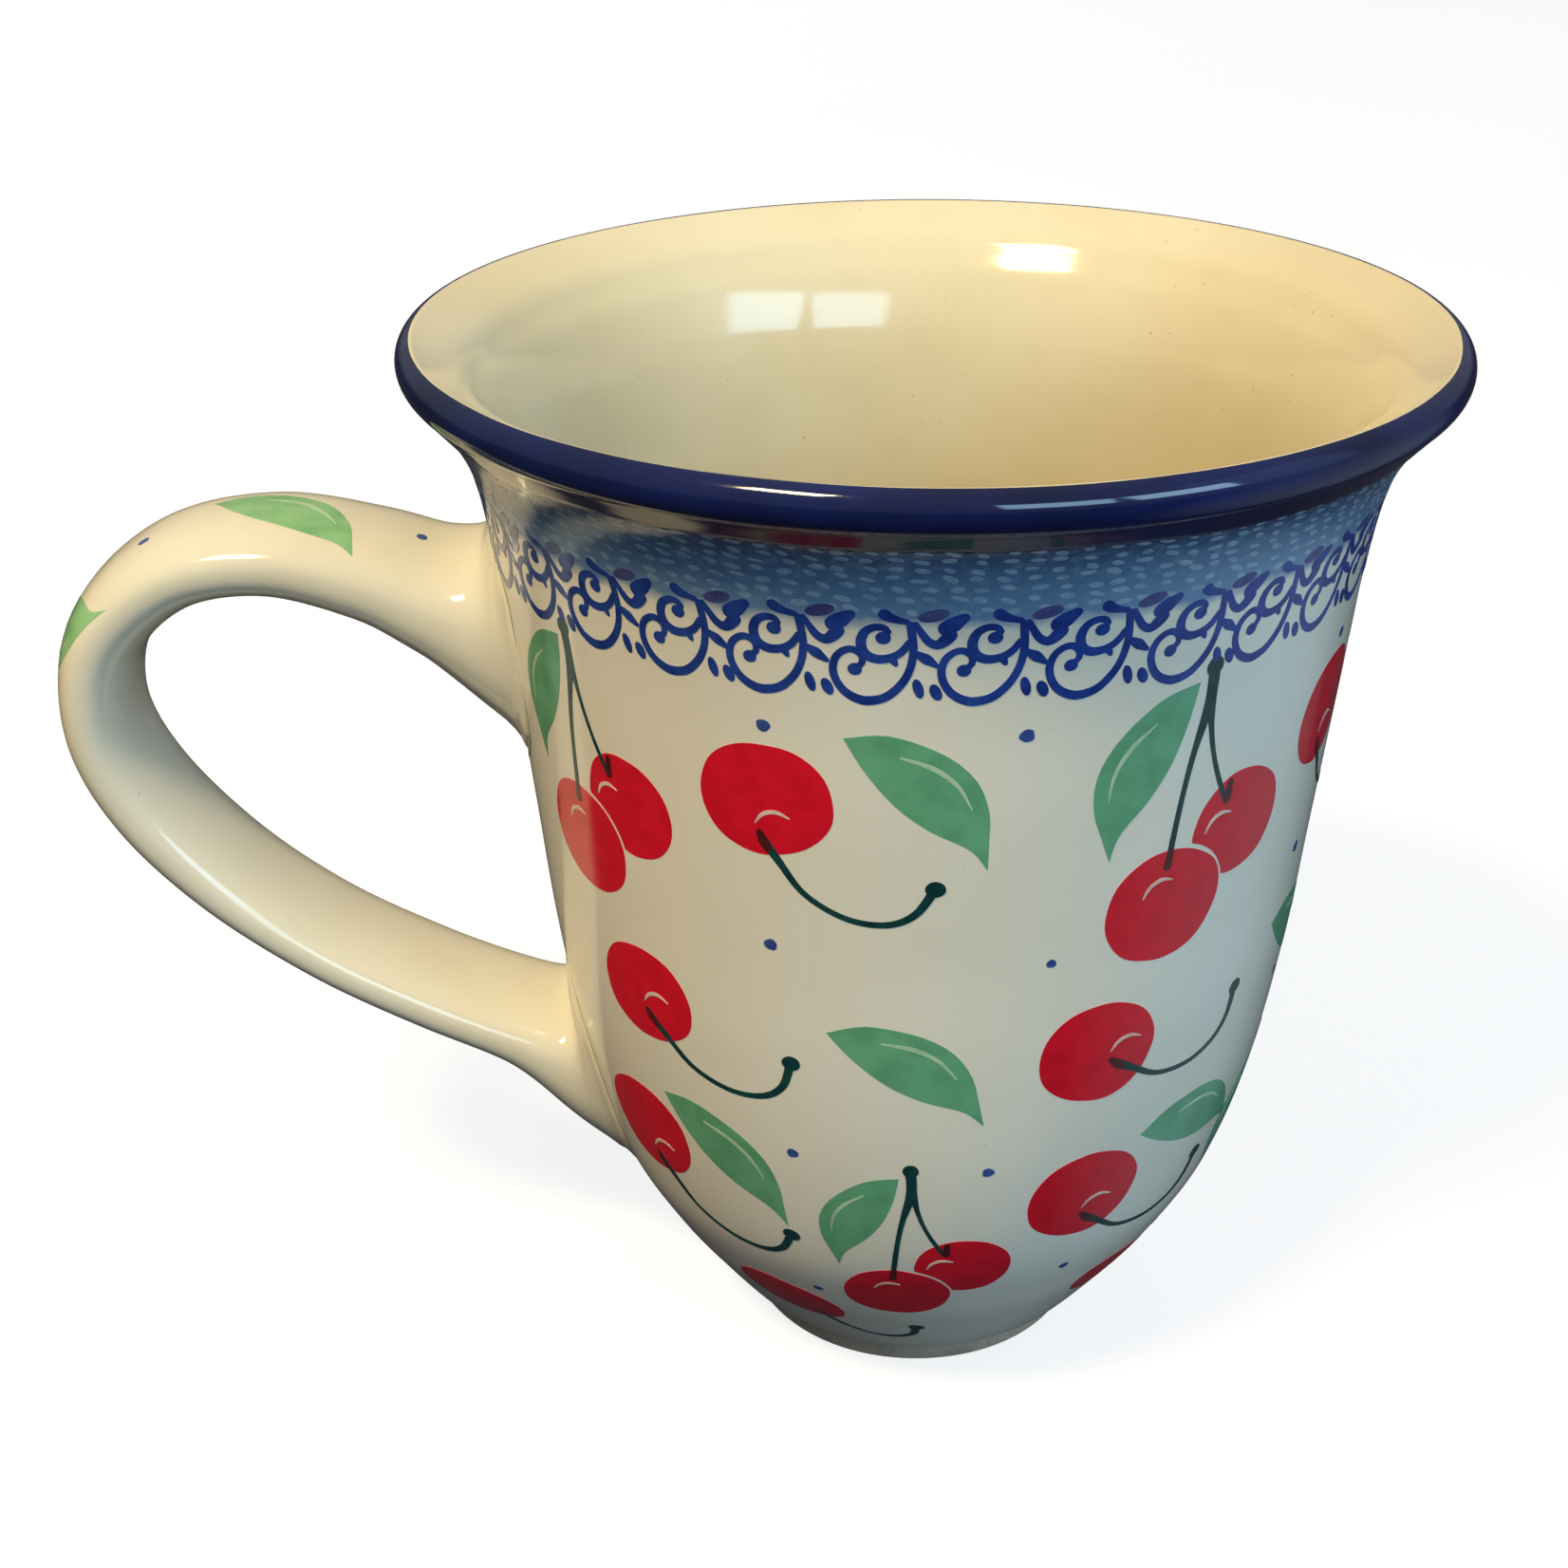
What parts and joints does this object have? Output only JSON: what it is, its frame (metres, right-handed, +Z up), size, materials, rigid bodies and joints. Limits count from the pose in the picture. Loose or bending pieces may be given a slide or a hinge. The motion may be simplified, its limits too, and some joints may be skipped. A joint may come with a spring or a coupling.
{
  "type": "mug",
  "caption": "Flared stoneware drinking mug with a rolled cobalt lip, a strap handle luted to the wall and a short bare foot ring.",
  "frame": {"origin": "centre of the foot on the table plane, on the mug's own axis", "axes": "+Z up along the mug's axis, -X towards the handle, whose middle plane is Y = 0"},
  "size_m": [0.1424, 0.104, 0.115],
  "materials": {
    "stoneware": "fired buff stoneware under the glaze",
    "bare_clay": "bare fired clay, dry and slightly rough",
    "cream_glaze": "clear glossy glaze over cream clay, with painted decoration",
    "inside_glaze": "glossy warm cream liner glaze",
    "cobalt_glaze": "glossy dark cobalt blue glaze"
  },
  "bodies": {
    "root": {"cup_body": "stoneware", "foot_ring": "bare_clay", "handle": "cream_glaze", "upper_handle_joint": "cream_glaze", "lower_handle_joint": "cream_glaze", "outer_glaze": "cream_glaze", "inner_glaze": "inside_glaze", "rim_band": "cobalt_glaze"}
  },
  "joints": []
}
